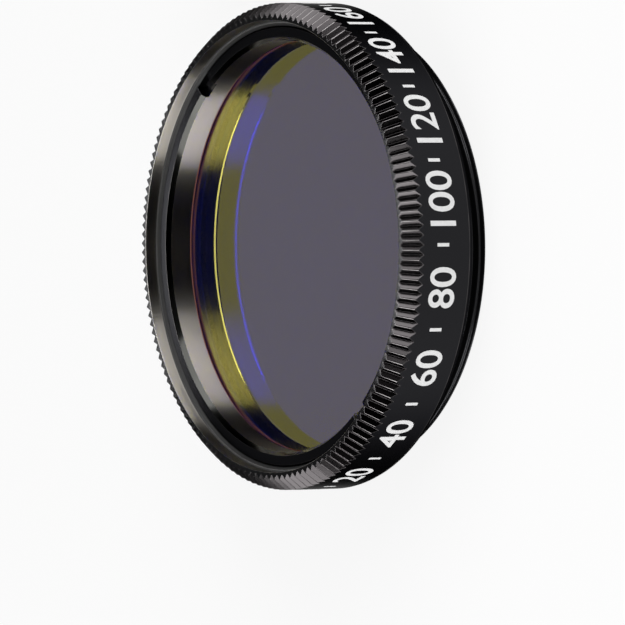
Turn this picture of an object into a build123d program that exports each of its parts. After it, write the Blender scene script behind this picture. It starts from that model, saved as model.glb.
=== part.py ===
from build123d import *
from math import pi, radians, tan
import os

# A round optical filter for an eyepiece barrel, lying with its thread down.
# Z is the optical axis, z = 0 is the thread end and the open mouth is at the top.
# Lengths are in millimetres and angles in degrees.

# Male thread, with the relief groove above it
thread_diameter = 28.5
thread_length = 1.68
thread_chamfer = 0.25
relief_width = 0.5
relief_depth = 0.4

# Light path through the thread end
thread_wall = 1.25
rear_bore_chamfer = 0.3

# Filter glass on its seat
seat_above_thread = 0.29
seat_width = 0.7
glass_thickness = 1.9
glass_bevel = 0.1
glass_clearance = 0.05

# Retaining ring over the glass
ring_overlap = 0.4
ring_overhang = 0.5
ring_height = 1.98
ring_clearance = 0.05
ring_inner_bevel_width = 0.23
ring_inner_bevel_depth = 0.3
ring_outer_bevel = 0.06
ring_foot_bevel_width = 0.12
ring_foot_bevel_depth = 0.18
ring_thread_spare = 0.1
slot_width = 1.3
slot_depth = 0.5
slot_angle = 39.6

# Mouth of the cell, in front of the ring
ring_sink = 0.08
lead_in = 0.19
ledge_width = 0.16
mouth_depth = 0.78
rim_width = 0.48

# Grip on the outside: a bevel with V grooves along it, then a plain band
bevel_depth = 0.67
bevel_length = 0.82
groove_pitch = 0.607
groove_angle = 96.0
crest_width = 0.05
cutter_margin = 0.1
band_edge_depth = 0.12
band_edge_length = 0.3

# Radii, from the light path outwards
thread_radius = thread_diameter / 2
relief_radius = thread_radius - relief_depth
aperture_radius = thread_radius - thread_wall
glass_radius = aperture_radius + seat_width
pocket_radius = glass_radius + glass_clearance
ring_radius = glass_radius + ring_overhang
ring_bore_radius = glass_radius - ring_overlap
tapped_radius = ring_radius + ring_clearance
mouth_radius = tapped_radius + lead_in + ledge_width
rim_radius = mouth_radius + rim_width
band_radius = rim_radius + bevel_depth

# Heights above the thread end
band_base = thread_length + relief_width
seat_height = band_base + seat_above_thread
glass_top = seat_height + glass_thickness
tapped_base = glass_top - ring_thread_spare
ring_top = glass_top + ring_height
ledge_height = ring_top + ring_sink
rim_height = ledge_height + mouth_depth
bevel_base = rim_height - bevel_length


# Cell: one turned piece
with BuildPart() as cell:
    with BuildSketch(Plane.XZ):
        with BuildLine():
            Polyline(
                (aperture_radius + rear_bore_chamfer, 0),
                (thread_radius - thread_chamfer, 0),
                (thread_radius, thread_chamfer),
                (thread_radius, thread_length),
                (relief_radius, thread_length),
                (relief_radius, band_base),
                (band_radius - band_edge_depth, band_base),
                (band_radius, band_base + band_edge_length),
                (band_radius, bevel_base),
                (rim_radius, rim_height),
                (mouth_radius, rim_height),
                (mouth_radius, ledge_height),
                (tapped_radius + lead_in, ledge_height),
                (tapped_radius, ledge_height - lead_in),
                (tapped_radius, tapped_base),
                (pocket_radius, tapped_base),
                (pocket_radius, seat_height),
                (aperture_radius, seat_height),
                (aperture_radius, rear_bore_chamfer),
                close=True,
            )
        make_face()
    revolve(axis=Axis.Z)

    # One V groove, cut along the slope of the bevel. Its section is square to the
    # slope, so it keeps its depth over the bevel and runs out to a point on the band.
    groove_count = round(2 * pi * rim_radius / groove_pitch)
    groove_slope = tan(radians(groove_angle / 2))
    groove_depth = (groove_pitch - crest_width) / 2 / groove_slope
    cutter_lift = crest_width / 4
    cutter_half_width = (groove_depth + cutter_lift) * groove_slope
    run_in = cutter_margin + groove_depth * bevel_depth / bevel_length
    run_out = cutter_margin + groove_depth * bevel_length / bevel_depth
    slope = Vector(bevel_depth, 0, -bevel_length)
    rim_corner = Vector(rim_radius, 0, rim_height)
    groove_start = rim_corner - slope.normalized() * run_in
    with BuildSketch(Plane(groove_start, x_dir=(0, 1, 0), z_dir=slope)):
        with BuildLine():
            Polyline(
                (0, -groove_depth),
                (cutter_half_width, cutter_lift),
                (-cutter_half_width, cutter_lift),
                close=True,
            )
        make_face()
    groove = extrude(amount=run_in + slope.length + run_out, mode=Mode.PRIVATE)
    with PolarLocations(0, groove_count):
        add(groove, mode=Mode.SUBTRACT)
cell.part.label = "cell"


# Filter glass: a plain disc with its edges broken
with BuildPart() as filter_glass:
    with BuildSketch(Plane.XY.offset(seat_height)):
        Circle(glass_radius)
    extrude(amount=glass_thickness)
    chamfer(filter_glass.edges().filter_by(GeomType.CIRCLE), glass_bevel)
filter_glass.part.label = "filter_glass"


# Retaining ring, with two slots across its face for a pin spanner. A bevel at its
# foot keeps the edge of the bore clear of the coating.
with BuildPart() as retaining_ring:
    with BuildSketch(Plane.XZ):
        with BuildLine():
            Polyline(
                (ring_bore_radius + ring_foot_bevel_width, glass_top),
                (ring_radius, glass_top),
                (ring_radius, ring_top - ring_outer_bevel),
                (ring_radius - ring_outer_bevel, ring_top),
                (ring_bore_radius + ring_inner_bevel_width, ring_top),
                (ring_bore_radius, ring_top - ring_inner_bevel_depth),
                (ring_bore_radius, glass_top + ring_foot_bevel_depth),
                close=True,
            )
        make_face()
    revolve(axis=Axis.Z)
    with BuildSketch(Plane.XY.offset(ring_top)):
        Rectangle(2 * ring_radius + slot_width, slot_width, rotation=slot_angle)
    extrude(amount=-slot_depth, mode=Mode.SUBTRACT)
retaining_ring.part.label = "retaining_ring"


os.makedirs("parts", exist_ok=True)
for piece in (cell, filter_glass, retaining_ring):
    export_step(piece.part, f"parts/{piece.part.label}.step")
print("grooves", groove_count, "depth", round(groove_depth, 3), "height", round(rim_height, 2))
print("diameters: band", 2 * band_radius, "mouth", 2 * mouth_radius, "glass", 2 * glass_radius)
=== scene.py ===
from math import cos, pi, radians, sin

import bmesh
import bpy
import numpy as np
from mathutils import Matrix, Vector


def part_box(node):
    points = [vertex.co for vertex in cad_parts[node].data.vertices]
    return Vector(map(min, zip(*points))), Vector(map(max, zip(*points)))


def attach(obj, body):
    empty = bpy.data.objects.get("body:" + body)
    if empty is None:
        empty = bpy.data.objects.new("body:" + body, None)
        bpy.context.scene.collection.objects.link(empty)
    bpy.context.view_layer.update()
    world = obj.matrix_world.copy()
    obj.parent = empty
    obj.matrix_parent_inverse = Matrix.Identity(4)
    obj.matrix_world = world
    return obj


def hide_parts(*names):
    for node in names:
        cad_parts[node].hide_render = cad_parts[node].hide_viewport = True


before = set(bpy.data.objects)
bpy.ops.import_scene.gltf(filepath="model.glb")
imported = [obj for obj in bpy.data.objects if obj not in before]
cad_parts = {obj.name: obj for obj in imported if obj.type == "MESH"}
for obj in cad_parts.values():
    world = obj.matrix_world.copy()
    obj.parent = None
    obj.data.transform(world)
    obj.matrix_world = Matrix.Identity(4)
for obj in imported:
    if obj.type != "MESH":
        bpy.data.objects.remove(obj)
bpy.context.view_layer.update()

mm = 0.001  # shapes are worked out in millimetres, Blender works in metres

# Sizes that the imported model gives
cellLow, cellHigh = (np.array(corner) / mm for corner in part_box("cell"))
ringLow, ringHigh = (np.array(corner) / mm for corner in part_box("retaining_ring"))
glassLow, glassHigh = (np.array(corner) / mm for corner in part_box("filter_glass"))


# Meshes

def newPiece(name, points, faces):
    # a mesh object at the origin, from points in metres
    mesh = bpy.data.meshes.new(name)
    mesh.from_pydata(points, [], faces)
    piece = bpy.data.objects.new(name, mesh)
    bpy.context.scene.collection.objects.link(piece)
    return piece


def rectangle(name, width, depth, height=0.0):
    # a flat sheet round the z axis, at one height, facing up
    x, y = width / 2, depth / 2
    corners = [(-x, -y, height), (x, -y, height), (x, y, height), (-x, y, height)]
    return newPiece(name, corners, [(0, 1, 2, 3)])


def unitVectors(vectors):
    # each vector divided by its own length
    return vectors / np.maximum(np.linalg.norm(vectors, axis=-1, keepdims=True), 1e-12)


def areaNormals(points, quads):
    # at each point the sum of the area vectors of the faces that meet there, so that
    # large flat faces stay flat and only the narrow broken edges look round
    corners = points[quads]
    areas = np.cross(corners[:, 2] - corners[:, 0], corners[:, 3] - corners[:, 1])
    normals = np.zeros_like(points)
    for corner in range(4):
        np.add.at(normals, quads[:, corner], areas)
    return unitVectors(normals)


def closedGrid(name, grid):
    # a grid of points, rows by columns, closed both ways into a ring with no open edge;
    # rows run up the outside and columns run clockwise from above, so faces point outwards
    rows, columns = grid.shape[:2]
    row, column = np.meshgrid(np.arange(rows), np.arange(columns), indexing="ij")
    nextRow, nextColumn = (row + 1) % rows, (column + 1) % columns
    quads = np.stack(
        [row * columns + column, nextRow * columns + column,
         nextRow * columns + nextColumn, row * columns + nextColumn], axis=-1).reshape(-1, 4)
    points = grid.reshape(-1, 3)
    piece = newPiece(name, points * mm, quads)
    piece.data.shade_smooth()
    piece.data.normals_split_custom_set_from_vertices(areaNormals(points, quads))
    return piece


def turned(radius, height, azimuth):
    # radius and height carried round the optical axis
    return np.stack([radius * np.cos(azimuth), radius * np.sin(azimuth), height], axis=-1)


def brokenCorners(corners, breaks):
    # each corner of a closed outline becomes two points, one break length back along
    # the side before it and one along the side after it; a break of 0 keeps one point
    rows, sources = [], []
    count = len(corners)
    for index, (corner, length) in enumerate(zip(corners, breaks)):
        if length == 0:
            rows.append(corner)
            sources.append(index)
            continue
        before, after = corners[index - 1] - corner, corners[(index + 1) % count] - corner
        rows += [corner + length * unitVectors(before), corner + length * unitVectors(after)]
        sources += [index, index]
    return rows, sources


def isBroken(sources):
    # true for a row of faces that lies between the two points of one corner
    return np.array(sources) == np.roll(sources, -1)


def dress(piece, kind, zones, rowZones, wearAndSheen):
    # one material for each zone, each row of faces in its own zone, and how worn each
    # face is, as an attribute that the materials read; on the grip's crests it also carries a
    # painted highlight
    columns = len(piece.data.polygons) // len(rowZones)
    slots = np.repeat([zones.index(zone) for zone in rowZones], columns)
    piece.data.polygons.foreach_set("material_index", slots.astype(np.int32))
    for zone in zones:
        piece.data.materials.append(anodised(kind + zone[0].upper() + zone[1:], finishes[zone]))
    attribute = piece.data.attributes.new("wearAndSheen", "FLOAT", "FACE")
    attribute.data.foreach_set("value", wearAndSheen.ravel())


# Cell: one turned piece with V grooves along its front bevel and a male thread

cell = {
    "threadPitch": 0.6, "threadDepth": 0.368, "threadStart": 0.417, "threadRows": 40,
    "threadCrest": 1 / 8, "threadRoot": 1 / 4, "threadLength": 1.68, "threadChamfer": 0.32,
    "reliefDepth": 0.4, "reliefWidth": 0.5, "threadWall": 1.25, "boreChamfer": 0.3,
    "pocketGap": 0.05, "bandEdgeDepth": 0.12, "bandEdgeLength": 0.3,
    "bevelDepth": 0.67, "bevelLength": 0.82, "grooves": 156, "grooveAngle": 96.0,
    "groovePitch": 0.607, "crestWidth": 0.05, "grooveFloor": 0.022, "crestRound": 0.014,
    "rimWidth": 0.48, "mouthDepth": 0.78, "leadIn": 0.19, "tappedGap": 0.05,
    # the crest share lightens the grip's crests: a painted highlight for their thin light lines as
    # well as wear
    "tappedSpare": 0.1, "edgeBreak": 0.03, "inkDepth": 0.012, "crestWearAndSheen": 0.8,
}
# the band lies the ink's depth inside the model's box, so that the print fits on it
cell["bandRadius"] = cellHigh[0] - cell["inkDepth"]
cell["threadRadius"] = ringHigh[0] + cell["tappedGap"]
cell["rimRadius"] = cell["bandRadius"] - cell["bevelDepth"]
cell["mouthRadius"] = cell["rimRadius"] - cell["rimWidth"]


def threadRadiusAt(azimuth, height):
    # outer radius less the thread's depth times a rounded V of the height minus one
    # pitch a turn, and never outside the chamfer at the thread's end
    turns = height / cell["threadPitch"] - azimuth / (2 * pi) - cell["threadStart"]
    distance = np.abs(2 * (turns - np.round(turns)))  # 0 on a crest, 1 in a root
    flankShare = 1 - cell["threadCrest"] - cell["threadRoot"]
    flank = np.clip((distance - cell["threadCrest"]) / flankShare, 0, 1)
    radius = cell["threadRadius"] - cell["threadDepth"] * flank ** 2 * (3 - 2 * flank)
    return np.minimum(radius, cell["threadRadius"] - cell["threadChamfer"] + height)


def grooveStations():
    # sideways distances across one groove and how deep the V is there: its depth falls
    # from the middle by the tangent of half the groove's angle, with a small floor round
    slope = np.tan(radians(cell["grooveAngle"] / 2))
    halfWidth = (cell["groovePitch"] - cell["crestWidth"]) / 2
    depth = halfWidth / slope
    floor, lip = cell["grooveFloor"], cell["crestRound"]
    side = np.array([floor, halfWidth - lip, halfWidth + lip])
    deep = np.array([depth - floor / slope, lip / slope, 0.0])
    sideways = np.concatenate([-side[::-1], [0.0], side])
    depths = np.concatenate([deep[::-1], [depth - floor / slope / 2], deep])
    return sideways, depths


def makeCell():
    # closed outline of radius and height for each column of azimuth, where the groove
    # columns keep their sideways distance and the crest columns keep their azimuth
    c = cell
    sideways, depths = grooveStations()
    grooveCentres = np.arange(c["grooves"]) * 2 * pi / c["grooves"]
    depth = np.tile(np.append(depths, 0.0), c["grooves"])
    nearCrest = np.abs(sideways) > sideways[-1] - c["crestRound"]
    isCrest = np.tile(np.append(nearCrest, True), c["grooves"])

    def azimuthAt(radius):
        local = np.append(sideways / radius, pi / c["grooves"])
        return (grooveCentres[:, None] + local[None, :]).ravel()

    azimuth = azimuthAt(c["rimRadius"])
    top = cellHigh[2]
    slopeLength = np.hypot(c["bevelDepth"], c["bevelLength"])
    rimEdge = c["rimRadius"] - depth * slopeLength / c["bevelLength"]
    runOut = top - c["bevelLength"] - depth * slopeLength / c["bevelDepth"]
    ledge = top - c["mouthDepth"]
    relief = c["threadRadius"] - c["reliefDepth"]
    bandBase = c["threadLength"] + c["reliefWidth"]
    bore = c["threadRadius"] - c["threadWall"]
    pocket = glassHigh[0] + c["pocketGap"]
    step = ringLow[2] - c["tappedSpare"]
    tapped = c["threadRadius"]
    ledgeRadius = tapped + c["leadIn"]
    fine, edge = c["edgeBreak"] / 2, c["edgeBreak"]
    threadStart, threadEnd = (threadRadiusAt(azimuth, z) for z in (0.0, c["threadLength"]))
    outline = [  # radius, height, break, zone of the side that follows, wear of the corner
        (bore + c["boreChamfer"], 0, edge, "end", 0),
        (threadStart, 0, 0, "end", 0),
        (threadEnd, c["threadLength"], 0, "end", 0),
        (relief, c["threadLength"], 0, "end", 0),
        (relief, bandBase, 0, "end", 0),
        (c["bandRadius"] - c["bandEdgeDepth"], bandBase, edge, "band", 0),
        (c["bandRadius"], bandBase + c["bandEdgeLength"], edge, "band", 0.35),
        (c["bandRadius"], runOut, fine, "grip", 0.5),
        (rimEdge, top, fine, "face", 0.6),
        (c["mouthRadius"], top, edge, "wall", 0.5),
        (c["mouthRadius"], ledge, 0, "ledge", 0),
        (ledgeRadius, ledge, fine, "lead", 0.4),
        (tapped, ledge - c["leadIn"], fine, "end", 0),
        (tapped, step, 0, "end", 0),
        (pocket, step, 0, "end", 0),
        (pocket, glassLow[2], 0, "end", 0),
        (bore, glassLow[2], edge, "end", 0),
        (bore, c["boreChamfer"], edge, "end", 0),
    ]
    corners = [np.stack(np.broadcast_arrays(*entry[:2], azimuth), axis=-1)[:, :2]
               for entry in outline]
    rows, sources = brokenCorners(corners, [entry[2] for entry in outline])

    # the thread's own rows come between its two ends
    threadEntry = 1
    heights = np.linspace(0, c["threadLength"], c["threadRows"] + 2)[1:-1]
    threadRows = [np.stack([threadRadiusAt(azimuth, z), np.full_like(azimuth, z)], axis=-1)
                  for z in heights]
    start = sources.index(threadEntry) + 1
    rows[start:start] = threadRows
    sources[start:start] = [threadEntry] * len(threadRows)

    rowZones = [outline[source][3] for source in sources]
    profile = np.array(rows)
    rowAzimuth = np.array([azimuth] * len(rows))
    onBand = [i for i, zone in enumerate(rowZones) if zone in ("band", "grip")]
    rowAzimuth[onBand] = azimuthAt(c["bandRadius"])
    points = turned(profile[..., 0], profile[..., 1], rowAzimuth)
    piece = closedGrid("filterCell", points[:, ::-1])

    # the broken edges that hands touch are worn; the crests between the grooves are lighter too,
    # partly wear and partly a painted highlight standing in for the thin light lines along them
    cornerWear = np.array([outline[source][4] for source in sources]) * isBroken(sources)
    wearAndSheen = np.repeat(cornerWear[:, None], len(azimuth), axis=1)
    onGrip = (np.array(rowZones) == "grip") & ~isBroken(sources)
    wearAndSheen[onGrip] = isCrest * c["crestWearAndSheen"]
    zones = ["band", "grip", "face", "wall", "ledge", "lead", "end"]
    dress(piece, "anodised", zones, rowZones, wearAndSheen[:, ::-1])
    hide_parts("cell")
    return piece


# Retaining ring: a turned ring with two slots across its face

ring = {
    "bore": 13.3, "innerBevelWidth": 0.23, "innerBevelDepth": 0.3, "outerBevel": 0.06,
    "footBevelWidth": 0.12, "footBevelDepth": 0.18, "slotWidth": 1.3, "slotDepth": 0.5,
    "slotAngle": 39.6, "slotMargins": (0.06, 0.03, 0.006), "slotLip": 0.02, "slotFoot": 0.025,
    "edgeBreak": 0.008, "edgeWear": 0.5, "arcColumns": 340, "arcGap": 0.6,
}


def makeRing():
    # closed outline of radius and height, whose top is lowered inside the slots, and
    # whose columns there stay at a fixed distance from the slot's own centre line
    r = ring
    half, deep, lip = r["slotWidth"] / 2, r["slotDepth"], r["slotLip"]
    outside = [half + margin for margin in r["slotMargins"]]
    across = np.array([*outside, half, half - r["slotFoot"], half / 2])
    lowered = np.array([0, 0, lip, deep - lip, deep, deep])
    sideways = np.concatenate([-across, [0.0], across[::-1]])
    drop = np.concatenate([lowered, [deep], lowered[::-1]])
    outer, top, foot = ringHigh[0], ringHigh[2], ringLow[2]
    middle = (outer + r["bore"]) / 2
    margin = across[0] / middle + radians(r["arcGap"])
    arc = np.linspace(margin, pi - margin, r["arcColumns"])

    def azimuthAt(radius):
        halfTurn = np.concatenate([np.arcsin(sideways / radius), arc])
        return np.concatenate([halfTurn, halfTurn + pi]) + radians(r["slotAngle"])

    allDrop = np.tile(np.concatenate([drop, np.zeros_like(arc)]), 2)
    outline = [  # radius, height, break, zone of the side that follows
        # the foot bevel, painted red as a painted reflection
        (r["bore"], foot + r["footBevelDepth"], 0, "foot"),
        (r["bore"] + r["footBevelWidth"], foot, 0, "ringFace"),
        (outer, foot, 0, "ringFace"),
        (outer, top - r["outerBevel"], r["edgeBreak"], "ringFace"),
        (outer - r["outerBevel"], top, r["edgeBreak"], "ringFace"),
        (r["bore"] + r["innerBevelWidth"], top, r["edgeBreak"], "bevel"),
        (r["bore"], top - r["innerBevelDepth"], r["edgeBreak"], "wall"),
    ]
    rows, sources = brokenCorners([np.array(entry[:2], float) for entry in outline],
                                  [entry[2] for entry in outline])
    profile = np.array(rows)
    height = np.minimum(profile[:, 1:], top - allDrop[None, :])
    azimuth = np.array([azimuthAt(radius) for radius in profile[:, 0]])
    points = turned(profile[:, :1] + 0 * azimuth, height, azimuth)
    piece = closedGrid("retainingRing", points[:, ::-1])
    cornerWear = isBroken(sources) * r["edgeWear"]
    wearAndSheen = np.repeat(cornerWear[:, None], azimuth.shape[1], axis=1)
    rowZones = [outline[source][3] for source in sources]
    dress(piece, "ring", ["ringFace", "wall", "bevel", "foot"], rowZones, wearAndSheen)
    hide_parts("retaining_ring")
    return piece


# Filter glass: a coated disc with its edges broken

glass = {
    "columns": 240, "bevel": 0.1, "refraction": 1.51, "clearShare": 0.98,
    "bodyColor": (0.1, 0.15, 1.0), "frontTint": (5.5, 4.95, 0.3),
    "backColor": (0.012, 0.02, 0.25), "backRoughness": 0.05,
    "edgeColor": (0.02, 0.02, 0.05), "edgeRoughness": 0.6,
}


def makeGlass():
    # a stack of circles from the back to the front, closed with a fan at each end
    g = glass
    edge, bottom, top = glassHigh[0], glassLow[2], glassHigh[2]
    radius = np.array([edge - g["bevel"], edge, edge, edge - g["bevel"]])[:, None]
    height = np.array([bottom, bottom + g["bevel"], top - g["bevel"], top])[:, None]
    azimuth = np.linspace(0, 2 * pi, g["columns"], endpoint=False)[None, :]
    circles = turned(*np.broadcast_arrays(radius, height, azimuth)).reshape(-1, 3)
    points = np.vstack([circles, [[0, 0, bottom], [0, 0, top]]])
    here = np.arange(g["columns"])
    after = (here + 1) % g["columns"]
    starts = np.arange(len(radius)) * g["columns"]
    walls = [np.stack([here + low, after + low, after + high, here + high], axis=1)
             for low, high in zip(starts, starts[1:])]
    backMiddle = np.full_like(here, len(circles))
    backFan = np.stack([after, here, backMiddle], axis=1)
    frontFan = np.stack([here + starts[-1], after + starts[-1], backMiddle + 1], axis=1)
    faces = [face for block in (*walls, backFan, frontFan) for face in block.tolist()]
    piece = newPiece("filterGlass", points * mm, faces)
    coats = {"front": frontCoating(), "back": backCoating(), "edge": groundEdge()}
    for material in coats.values():
        piece.data.materials.append(material)
    facing = ["edge"] * len(walls) + ["back", "front"]
    slots = np.repeat([list(coats).index(name) for name in facing], g["columns"])
    piece.data.polygons.foreach_set("material_index", slots.astype(np.int32))
    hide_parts("filter_glass")
    return piece


# Print on the band: a plain dial of degrees

dial = {
    "height": 2.0, "middle": 4.53, "every": 20, "zeroAt": -180, "bold": 0.03,
    "digitShare": 0.72, "curveSteps": 5, "merge": 1e-5, "cut": 0.25, "thickness": 0.05,
    "tickHeight": 0.9, "tickWidth": 0.22,
    "inkDark": 0.56, "inkPale": 0.7, "inkRoughness": 0.55, "inkPatches": 4000,
}


def flatText(body):
    # the digits as a flat solid mesh, centred on x, with its strokes cut across so that
    # it can bend round the band; digitShare is a digit's height in the font's own size
    curve = bpy.data.curves.new("numeral", "FONT")
    curve.body, curve.align_x = body, "CENTER"
    curve.size = dial["height"] / dial["digitShare"]
    curve.offset, curve.resolution_u = dial["bold"], dial["curveSteps"]
    curve.extrude = dial["thickness"] / 2
    holder = bpy.data.objects.new("numeral", curve)
    bpy.context.scene.collection.objects.link(holder)
    bpy.context.view_layer.update()
    finished = holder.evaluated_get(bpy.context.evaluated_depsgraph_get())
    mesh = bpy.data.meshes.new_from_object(finished)
    bpy.data.objects.remove(holder)
    work = bmesh.new()
    work.from_mesh(mesh)
    bmesh.ops.remove_doubles(work, verts=work.verts, dist=dial["merge"])
    xs = [vertex.co.x for vertex in work.verts]
    for x in np.arange(min(xs) + dial["cut"], max(xs), dial["cut"]):
        bmesh.ops.bisect_plane(work, geom=[*work.verts, *work.edges, *work.faces],
                               plane_co=(x, 0, 0), plane_no=(1, 0, 0))
    bmesh.ops.triangulate(work, faces=work.faces)
    work.to_mesh(mesh)
    work.free()
    points = np.empty(len(mesh.vertices) * 3, np.float32)
    mesh.vertices.foreach_get("co", points)
    corners = np.empty(len(mesh.loops), np.int32)
    mesh.loops.foreach_get("vertex_index", corners)
    bpy.data.meshes.remove(mesh)
    return points.reshape(-1, 3).astype(float), corners.reshape(-1, 3)


def tick():
    # a short upright bar as a closed box of eight points
    x, y, z = dial["tickWidth"] / 2, dial["tickHeight"] / 2, dial["thickness"] / 2
    signs = np.array([(i, j, k) for k in (-1, 1) for j in (-1, 1) for i in (-1, 1)])
    faces = np.array([(0, 3, 1), (0, 2, 3), (4, 5, 7), (4, 7, 6), (0, 1, 5), (0, 5, 4),
                      (2, 7, 3), (2, 6, 7), (0, 4, 6), (0, 6, 2), (1, 3, 7), (1, 7, 5)])
    return signs * [x, y, z] + [0, dial["height"] / 2, 0], faces


def makePrint():
    # the flat marks bent round the band: x becomes arc length, y height, z radius
    points, faces, offset = [], [], 0
    outside = cellHigh[0]
    for degrees in range(0, 360, dial["every"] // 2):
        isNumber = degrees % dial["every"] == 0
        flat, corners = flatText(str(degrees)) if isNumber else tick()
        azimuth = radians(degrees + dial["zeroAt"]) + flat[:, 0] / outside
        radius = outside - dial["thickness"] / 2 + flat[:, 2]
        height = dial["middle"] - dial["height"] / 2 + flat[:, 1]
        points.append(turned(radius, height, azimuth))
        faces.append(corners + offset)
        offset += len(flat)
    piece = newPiece("dialPrint", np.vstack(points) * mm, np.vstack(faces))
    piece.data.materials.append(printPaint())
    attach(piece, "root")
    return piece


# Node groups and materials

finishes = {
    "band": {"color": (0.022, 0.022, 0.024), "metal": 1.0, "edgeTint": 0.15,
             "roughness": 0.34, "stretch": 0.6, "grain": 0.25},
    "grip": {"color": (0.042, 0.039, 0.04), "metal": 1.0, "edgeTint": 0.3,
             "roughness": 0.2, "stretch": 0.0, "grain": 0.1},
    "face": {"color": (0.035, 0.035, 0.036), "metal": 1.0, "edgeTint": 0.3,
             "roughness": 0.25, "stretch": 1.0, "grain": 0.2},
    # painted highlight: the mouth and bore walls are a far lighter copy of the black anodising, so
    # that the lamps' highlights on them come out bright
    "wall": {"color": (0.32, 0.305, 0.28), "metal": 1.0, "edgeTint": 1.0,
             "roughness": 0.3, "stretch": 1.0, "grain": 0.2},
    "bevel": {"color": (0.03, 0.03, 0.028), "metal": 1.0, "edgeTint": 1.0,
              "roughness": 0.12, "stretch": 0.0, "grain": 0.05},
    # painted reflection: the ring's foot bevel is painted red, standing in for the thin red line of
    # reflection where the ring meets the glass
    "foot": {"color": (0.35, 0.13, 0.12), "metal": 0.0, "edgeTint": 0.8,
             "roughness": 0.5, "stretch": 0.0, "grain": 0.1},
    "ringFace": {"color": (0.022, 0.022, 0.024), "metal": 1.0, "edgeTint": 0.3,
                 "roughness": 0.25, "stretch": 1.0, "grain": 0.2},
    "lead": {"color": (0.016, 0.016, 0.016), "metal": 0.0, "edgeTint": 0.8,
             "roughness": 0.5, "stretch": 0.0, "grain": 0.1},
    "ledge": {"color": (0.035, 0.035, 0.035), "metal": 0.0, "edgeTint": 0.8,
              "roughness": 0.5, "stretch": 0.0, "grain": 0.1},
    "end": {"color": (0.03, 0.03, 0.032), "metal": 1.0, "edgeTint": 0.2,
            "roughness": 0.3, "stretch": 0.3, "grain": 0.2},
}
lathe = {"pitch": 0.05, "height": 0.004, "roughnessSpread": 0.05, "quarterTurn": 0.25}
# the lighter colour of worn edges, also a painted highlight on the grip's crests
wornAndSheen = {"color": (0.20, 0.19, 0.19), "patches": 900.0, "bareFrom": 0.35, "bareTo": 0.65,
        "least": 0.35}


def newGroup(name, inputs, outputs):
    # an empty shader group with named inputs (name, default) and named outputs
    group = bpy.data.node_groups.new(name, "ShaderNodeTree")
    for socketName, default in inputs:
        kind = "NodeSocketColor" if isinstance(default, tuple) else "NodeSocketFloat"
        socket = group.interface.new_socket(socketName, in_out="INPUT", socket_type=kind)
        socket.default_value = (*default, 1.0) if isinstance(default, tuple) else default
    for socketName, kind in outputs:
        group.interface.new_socket(socketName, in_out="OUTPUT", socket_type="NodeSocket" + kind)
    return group, group.nodes.new("NodeGroupInput"), group.nodes.new("NodeGroupOutput")


def newNodes(nodes, *kinds):
    # one shader node of each kind
    return [nodes.new("ShaderNode" + kind) for kind in kinds]


def turningMarks():
    # fine rings left by the lathe: noise of radius and height alone, so that every
    # mark runs round the optical axis; its scale is one mark in each pitch
    group, given, out = newGroup("turningMarks", [("Pitch", lathe["pitch"]), ("Depth", 0.5)],
                                 [("Mark", "Float"), ("Normal", "Vector")])
    n, link = group.nodes, group.links.new
    place, split, flat, radius = newNodes(n, "TexCoord", "SeparateXYZ", "CombineXYZ", "VectorMath")
    radius.operation = "LENGTH"
    link(place.outputs["Object"], split.inputs[0])
    link(split.outputs["X"], flat.inputs["X"])
    link(split.outputs["Y"], flat.inputs["Y"])
    link(flat.outputs[0], radius.inputs[0])
    rings, scale, noise, bump = newNodes(n, "CombineXYZ", "Math", "TexNoise", "Bump")
    scale.operation = "DIVIDE"
    scale.inputs[0].default_value = 1 / mm
    link(given.outputs["Pitch"], scale.inputs[1])
    link(radius.outputs["Value"], rings.inputs["X"])
    link(split.outputs["Z"], rings.inputs["Y"])
    noise.inputs["Detail"].default_value = 3
    link(rings.outputs[0], noise.inputs["Vector"])
    link(scale.outputs[0], noise.inputs["Scale"])
    bump.inputs["Distance"].default_value = lathe["height"] * mm
    link(given.outputs["Depth"], bump.inputs["Strength"])
    link(noise.outputs["Fac"], bump.inputs["Height"])
    link(noise.outputs["Fac"], out.inputs["Mark"])
    link(bump.outputs[0], out.inputs["Normal"])
    return group


def wornEdges():
    # the finish where the face is whole, the lighter worn colour where the wear attribute and
    # a patchy noise say so: the share of it is the product of the two; on the grip's crests
    # that lighter colour is a painted highlight as well as wear
    inputs = [("Finish", (0.02, 0.02, 0.02)), ("WornAndSheen", wornAndSheen["color"]), ("Patches", wornAndSheen["patches"])]
    group, given, out = newGroup("wornEdges", inputs, [("Color", "Color")])
    n, link = group.nodes, group.links.new
    wearAndSheen, place, noise, patchy = newNodes(n, "Attribute", "TexCoord", "TexNoise", "MapRange")
    wearAndSheen.attribute_name = "wearAndSheen"
    link(place.outputs["Object"], noise.inputs["Vector"])
    link(given.outputs["Patches"], noise.inputs["Scale"])
    noise.inputs["Detail"].default_value = 3
    patchy.inputs["From Min"].default_value = wornAndSheen["bareFrom"]
    patchy.inputs["From Max"].default_value = wornAndSheen["bareTo"]
    patchy.inputs["To Min"].default_value = wornAndSheen["least"]
    link(noise.outputs["Fac"], patchy.inputs["Value"])
    share, mix = newNodes(n, "Math", "Mix")
    share.operation, mix.data_type = "MULTIPLY", "RGBA"
    link(wearAndSheen.outputs["Fac"], share.inputs[0])
    link(patchy.outputs["Result"], share.inputs[1])
    link(share.outputs[0], mix.inputs["Factor"])
    link(given.outputs["Finish"], mix.inputs["A"])
    link(given.outputs["WornAndSheen"], mix.inputs["B"])
    link(mix.outputs["Result"], out.inputs["Color"])
    return group


def newMaterial(name, values):
    # a material whose own Principled shader gets the given values
    material = bpy.data.materials.new(name)
    material.use_nodes = True
    shader = material.node_tree.nodes["Principled BSDF"]
    for socketName, value in values.items():
        shader.inputs[socketName].default_value = value
    return material, shader


def placedGroup(nodes, group, **values):
    # a shared group placed in a material with its own values
    node = nodes.new("ShaderNodeGroup")
    node.node_tree = group
    for name, value in values.items():
        node.inputs[name].default_value = value
    return node


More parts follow.
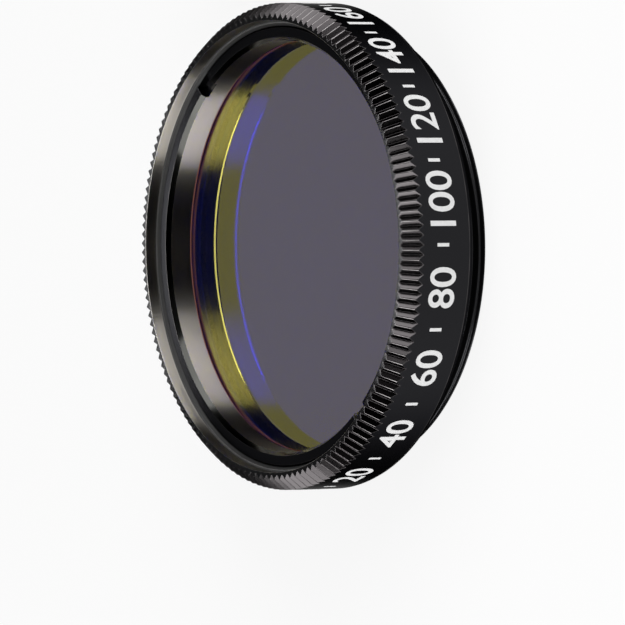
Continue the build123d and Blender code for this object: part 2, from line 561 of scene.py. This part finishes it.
def anodised(name, finish):
    # dark dyed aluminium: a dim metal whose gloss stretches across the turning marks; the wall
    # finish is a lighter copy of it for a painted highlight, and the foot finish a red painted
    # reflection
    material, shader = newMaterial(name, {
        "Metallic": finish["metal"], "Specular Tint": (*[finish["edgeTint"]] * 3, 1),
        "Anisotropic": finish["stretch"], "Anisotropic Rotation": lathe["quarterTurn"]})
    nodes, link = material.node_tree.nodes, material.node_tree.links.new
    marks = placedGroup(nodes, groups["turningMarks"], Pitch=lathe["pitch"], Depth=finish["grain"])
    edges = placedGroup(nodes, groups["wornEdges"], Finish=(*finish["color"], 1))
    link(edges.outputs["Color"], shader.inputs["Base Color"])
    link(marks.outputs["Normal"], shader.inputs["Normal"])
    rough, around, place = newNodes(nodes, "MapRange", "VectorMath", "TexCoord")
    rough.inputs["To Min"].default_value = finish["roughness"] - lathe["roughnessSpread"]
    rough.inputs["To Max"].default_value = finish["roughness"] + lathe["roughnessSpread"]
    link(marks.outputs["Mark"], rough.inputs["Value"])
    link(rough.outputs["Result"], shader.inputs["Roughness"])
    around.operation = "CROSS_PRODUCT"
    around.inputs[0].default_value = (0, 0, 1)
    link(place.outputs["Object"], around.inputs[1])
    link(around.outputs[0], shader.inputs["Tangent"])
    return material


def frontCoating():
    # clear glass with a little deep blue of its own, under a coating that reflects yellow
    return newMaterial("frontCoating", {
        "Base Color": (*glass["bodyColor"], 1), "Roughness": 0.0, "IOR": glass["refraction"],
        "Transmission Weight": glass["clearShare"], "Specular Tint": (*glass["frontTint"], 1)})[0]


def backCoating():
    # the coating on the back of the glass: a dim blue mirror that nothing is seen through
    return newMaterial("backCoating", {
        "Base Color": (*glass["backColor"], 1), "Metallic": 1.0,
        "Roughness": glass["backRoughness"]})[0]


def groundEdge():
    # the disc's finely ground edge, blackened
    return newMaterial("groundEdge", {
        "Base Color": (*glass["edgeColor"], 1), "Roughness": glass["edgeRoughness"]})[0]


def printPaint():
    # white screen print, a little uneven where the ink is thinner
    material, shader = newMaterial("printPaint", {"Roughness": dial["inkRoughness"]})
    nodes, link = material.node_tree.nodes, material.node_tree.links.new
    place, noise, shade = newNodes(nodes, "TexCoord", "TexNoise", "MapRange")
    noise.inputs["Scale"].default_value = dial["inkPatches"]
    noise.inputs["Detail"].default_value = 4
    link(place.outputs["Object"], noise.inputs["Vector"])
    link(noise.outputs["Fac"], shade.inputs["Value"])
    shade.inputs["To Min"].default_value = dial["inkDark"]
    shade.inputs["To Max"].default_value = dial["inkPale"]
    link(shade.outputs["Result"], shader.inputs["Base Color"])
    return material


# Camera, at the photograph's viewing angle

photo = {
    "pixels": 625, "pixelsPerMm": 15.49, "distance": 600.0, "rimPixel": (269.504, 246.534),
    "axisTilt": 55.81, "axisRoll": -0.785, "sensor": 36.0, "nearest": 0.01, "furthest": 10,
}


def makeCamera():
    # the row frame's Z seen by the camera comes from the tilt and roll of the optical
    # axis, Y is square to it with no part along the picture's height, X is square to both
    p = photo
    tilt, roll = radians(p["axisTilt"]), radians(p["axisRoll"])
    zSeen = Vector((-sin(tilt) * cos(roll), -sin(tilt) * sin(roll), -cos(tilt)))
    ySeen = Vector((-cos(tilt), 0, sin(tilt) * cos(roll))).normalized()
    xSeen = ySeen.cross(zSeen)
    right, down, forward = (Vector((xSeen[i], ySeen[i], zSeen[i])) for i in range(3))
    middle = p["pixels"] / 2
    across, below = ((pixel - middle) / p["pixelsPerMm"] for pixel in p["rimPixel"])
    rimCentre = Vector((0, 0, cellHigh[2]))
    place = (rimCentre - across * right - below * down - p["distance"] * forward) * mm
    data = bpy.data.cameras.new("camera")
    data.sensor_width = p["sensor"]
    data.lens = p["sensor"] * p["pixelsPerMm"] * p["distance"] / p["pixels"]
    data.clip_start, data.clip_end = p["nearest"], p["furthest"]
    camera = bpy.data.objects.new("camera", data)
    axes = Matrix((right, -down, -forward)).transposed().to_4x4()
    camera.matrix_world = Matrix.Translation(place) @ axes
    bpy.context.scene.collection.objects.link(camera)
    bpy.context.scene.camera = camera


# Light, floor and world, in metres

studio = {
    "boxes": {  # azimuth, elevation, width, height, radiance
        "sideBoxRight": (-26, 26, 0.36, 0.184, 5.0),
        "sideBoxLeft": (202, 26, 0.27, 0.184, 6.0),
    },
    "cards": {  # azimuth, elevation, width, height, distance, glow
        "cameraCard": (270, 56, 0.8, 0.8, 0.25, 0.0),
        "farPanel": (90, 34, 0.26, 0.17, 0.31, 0.4),
        "farStrip": (90, 63, 0.13, 0.15, 0.32, 13.0),
        "lowCardRight": (10, 4, 0.21, 0.078, 0.2, 0.0),
        "lowCardLeft": (170, 4, 0.21, 0.078, 0.2, 0.0),
        "farCardRight": (40, 28, 0.33, 0.4, 0.3, 0.0),
        "farCardLeft": (140, 28, 0.33, 0.4, 0.3, 0.0),
    },
    "boxDistance": 0.32, "plainLight": 0.3, "floorSize": 2.0, "floorGap": 0.01 * mm,
    "floorColor": 0.8, "floorWhite": 0.85, "floorRoughness": 0.9, "floorGloss": 0.1,
}


def placeTowards(holder, azimuth, elevation, distance):
    # the object stands off along its azimuth and elevation and faces the part
    turn, lift = radians(azimuth), radians(elevation)
    direction = Vector((cos(turn) * cos(lift), sin(turn) * cos(lift), sin(lift)))
    holder.location = direction * distance
    holder.rotation_euler = direction.to_track_quat("Z", "Y").to_euler()


def makeLights():
    # each soft box sends out pi times its area times its radiance
    for name, (azimuth, elevation, width, height, radiance) in studio["boxes"].items():
        lamp = bpy.data.lights.new(name, "AREA")
        lamp.shape, lamp.size, lamp.size_y = "RECTANGLE", width, height
        lamp.energy = pi * width * height * radiance
        holder = bpy.data.objects.new(name, lamp)
        placeTowards(holder, azimuth, elevation, studio["boxDistance"])
        bpy.context.scene.collection.objects.link(holder)


def makeCards():
    # black, grey and bright cards round the part, which show in gloss and through glass
    # but neither to the camera nor in the plain light
    for name, (azimuth, elevation, width, height, distance, glow) in studio["cards"].items():
        holder = rectangle(name, width, height)
        placeTowards(holder, azimuth, elevation, distance)
        material, shader = newMaterial(name, {
            "Base Color": (0, 0, 0, 1), "Specular IOR Level": 0.0,
            "Emission Color": (1, 1, 1, 1), "Emission Strength": glow})
        holder.data.materials.append(material)
        holder.visible_camera = holder.visible_diffuse = holder.visible_shadow = False


def seenDirectly(nodes, link):
    # 1 for rays from the camera, from gloss and through glass, 0 for the light on the part
    path, first, second = newNodes(nodes, "LightPath", "Math", "Math")
    first.operation = second.operation = "MAXIMUM"
    link(path.outputs["Is Camera Ray"], first.inputs[0])
    link(path.outputs["Is Glossy Ray"], first.inputs[1])
    link(first.outputs[0], second.inputs[0])
    link(path.outputs["Is Transmission Ray"], second.inputs[1])
    return second.outputs[0]


def makeWorld():
    # white where it is seen, plain soft light where it falls on the part
    world = bpy.data.worlds.new("studioWorld")
    bpy.context.scene.world = world
    world.use_nodes = True
    nodes, link = world.node_tree.nodes, world.node_tree.links.new
    level = nodes.new("ShaderNodeMapRange")
    level.inputs["To Min"].default_value = studio["plainLight"]
    level.inputs["To Max"].default_value = 1.0
    link(seenDirectly(nodes, link), level.inputs["Value"])
    link(level.outputs["Result"], nodes["Background"].inputs["Strength"])
    nodes["Background"].inputs["Color"].default_value = (1, 1, 1, 1)


def makeFloor():
    # a pale plane just under the thread end; where it is seen, white lifts it but its
    # shadow stays
    s = studio
    floor = rectangle("floor", s["floorSize"], s["floorSize"], cellLow[2] * mm - s["floorGap"])
    material, shader = newMaterial("paleFloor", {
        "Base Color": (*[s["floorColor"]] * 3, 1), "Roughness": s["floorRoughness"],
        "Specular IOR Level": s["floorGloss"]})
    nodes, link = material.node_tree.nodes, material.node_tree.links.new
    white, mix, share = newNodes(nodes, "Emission", "MixShader", "Math")
    share.operation = "MULTIPLY"
    share.inputs[1].default_value = s["floorWhite"]
    link(seenDirectly(nodes, link), share.inputs[0])
    link(share.outputs[0], mix.inputs["Fac"])
    link(shader.outputs[0], mix.inputs[1])
    link(white.outputs[0], mix.inputs[2])
    link(mix.outputs[0], nodes["Material Output"].inputs["Surface"])
    floor.data.materials.append(material)


# The scene

groups = {"turningMarks": turningMarks(), "wornEdges": wornEdges()}
makeCamera()
makeLights()
makeCards()
makeWorld()
makeFloor()
print("studio ready")
for make in (makeCell, makeRing, makeGlass):
    piece = make()
    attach(piece, "root")
    print(piece.name, "faces", len(piece.data.polygons))
dialPrint = makePrint()
print(dialPrint.name, "faces", len(dialPrint.data.polygons))

bpy.context.scene.view_settings.view_transform = "Standard"
